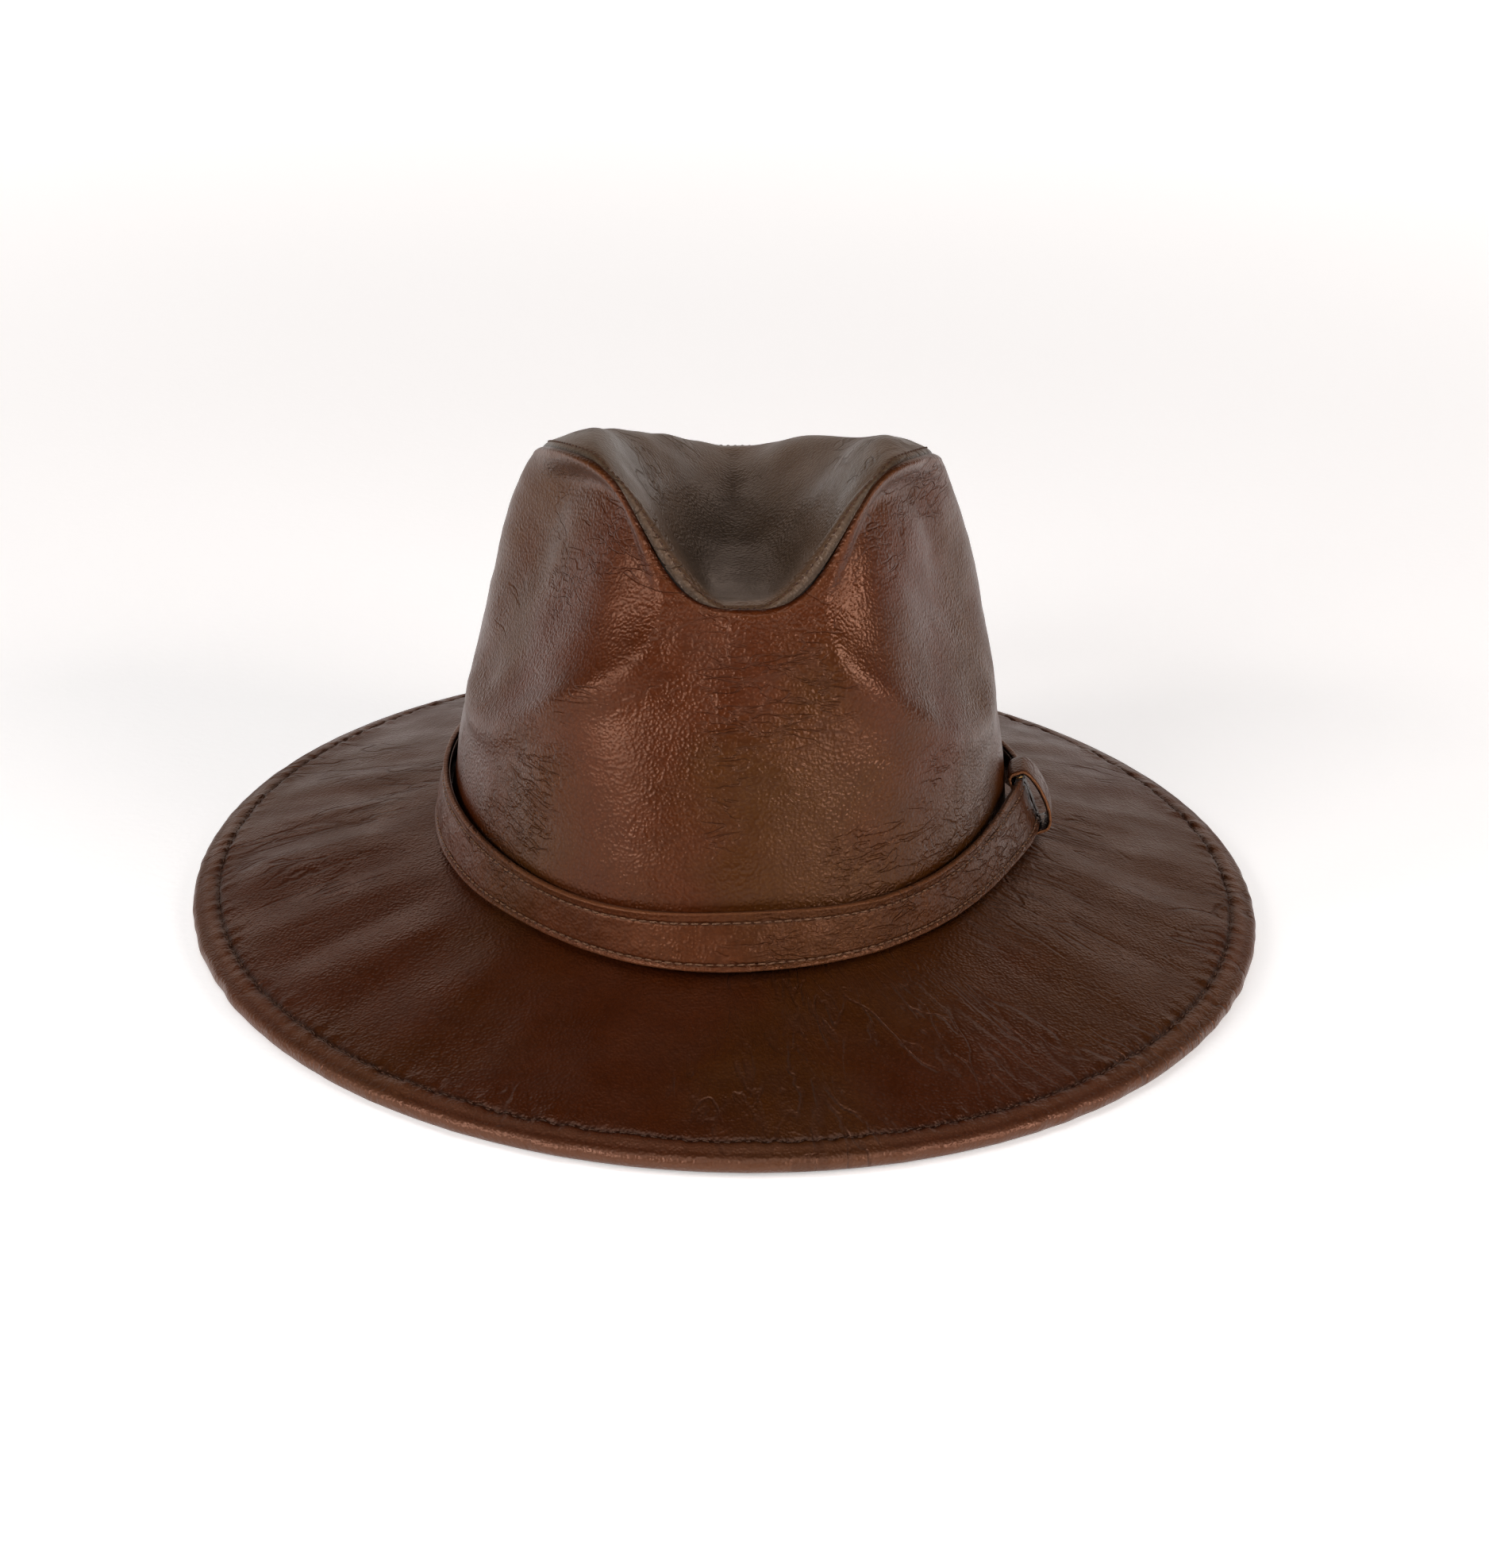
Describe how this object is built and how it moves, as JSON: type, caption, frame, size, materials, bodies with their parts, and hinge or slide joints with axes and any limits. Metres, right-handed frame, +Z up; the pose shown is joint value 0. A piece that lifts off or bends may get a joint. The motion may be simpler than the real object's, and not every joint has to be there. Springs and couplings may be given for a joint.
{
  "type": "wide-brimmed leather costume hat",
  "caption": "Wide-brimmed brown leather costume hat with a pinched, centre-dented crown, wired rolled brim edge, and a loose leather hatband closed by a keeper loop.",
  "frame": {"origin": "middle of the brim's edge, in the plane the brim rests on", "axes": "+Z up, the hat's front faces -Y, +Y towards its back, +X towards the wearer's left"},
  "size_m": [0.3336, 0.3728, 0.1613],
  "materials": {
    "crown_leather": "grained, satin sheen",
    "tip_leather": "grained, satin sheen",
    "brim_leather": "grained, satin sheen",
    "strap_leather": "smooth, satin sheen",
    "black_leather": "glossy",
    "sweatband_leather": "smooth, matt",
    "interlining": "matt",
    "lining": "satin weave",
    "thread": "twisted thread",
    "label": "woven",
    "brass": "polished",
    "wire_steel": "drawn wire"
  },
  "bodies": {
    "hat": {"crown_side": "crown_leather", "crown_tip": "tip_leather", "brim_upper": "brim_leather", "brim_under": "brim_leather", "sweatband": "sweatband_leather", "crown_side_interlining": "interlining", "crown_tip_interlining": "interlining", "brim_stiffener": "interlining", "lining_side": "lining", "lining_tip": "lining", "tip_seam_stitching": "thread", "back_seam_stitching": "thread", "sweatband_stitching": "thread", "brim_edge_stitching": "thread", "size_label": "label", "brim_wire": "wire_steel", "wire_ferrule": "wire_steel"},
    "hatband": {"hatband_strap": "strap_leather", "hatband_backing": "black_leather", "hatband_stitching_upper": "thread", "hatband_stitching_lower": "thread"},
    "keeper": {"keeper_loop": "strap_leather", "keeper_lining": "black_leather", "keeper_staple": "brass"}
  },
  "joints": [
    {"name": "hatband_lift", "type": "slide", "parent": "hat", "child": "hatband", "axis": [0, 0, 1], "range_m": [0, 0.15]},
    {"name": "keeper_shift", "type": "hinge", "parent": "hatband", "child": "keeper", "pos_m": [0.05, 0, 0.036], "axis": [0, 0, 1], "range_deg": [-8, 8]}
  ]
}
